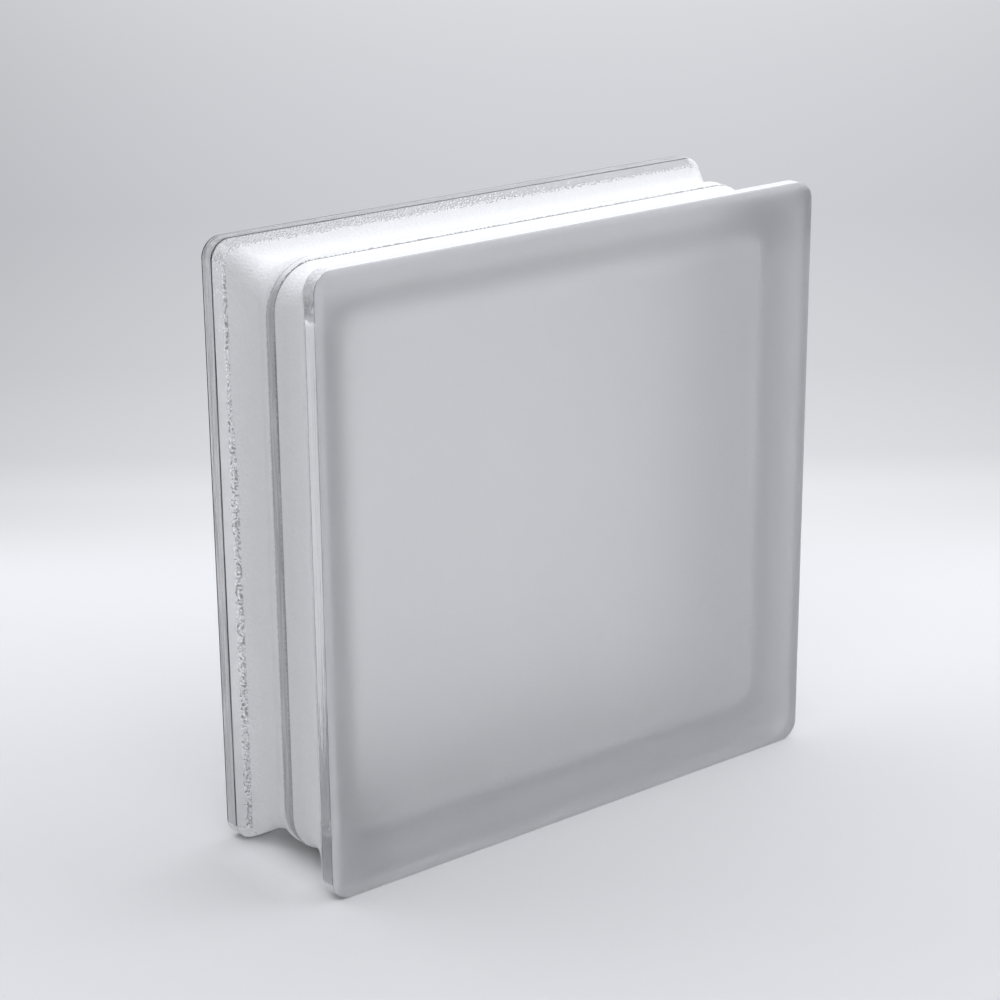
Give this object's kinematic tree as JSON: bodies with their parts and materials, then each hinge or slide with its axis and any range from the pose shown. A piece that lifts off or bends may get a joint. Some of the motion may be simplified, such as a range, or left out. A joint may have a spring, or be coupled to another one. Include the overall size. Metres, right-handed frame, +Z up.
{
  "type": "glass block",
  "caption": "Square hollow glass block with satin faces, clear rims, and mortar channels either side of a fused seam on all four sides.",
  "frame": {"origin": "middle of the side that the block stands on, in the plane of the seam", "axes": "+Z up, X along the width of the faces, Y through the block from the front face at -Y to the rear face at +Y"},
  "size_m": [0.19, 0.058, 0.19],
  "materials": {
    "pressed_glass": "satin frosted faces, clear fire-polished rims, satin edge coating in the channels"
  },
  "bodies": {
    "root": {"front_half_shell": "pressed_glass", "rear_half_shell": "pressed_glass"}
  },
  "joints": []
}
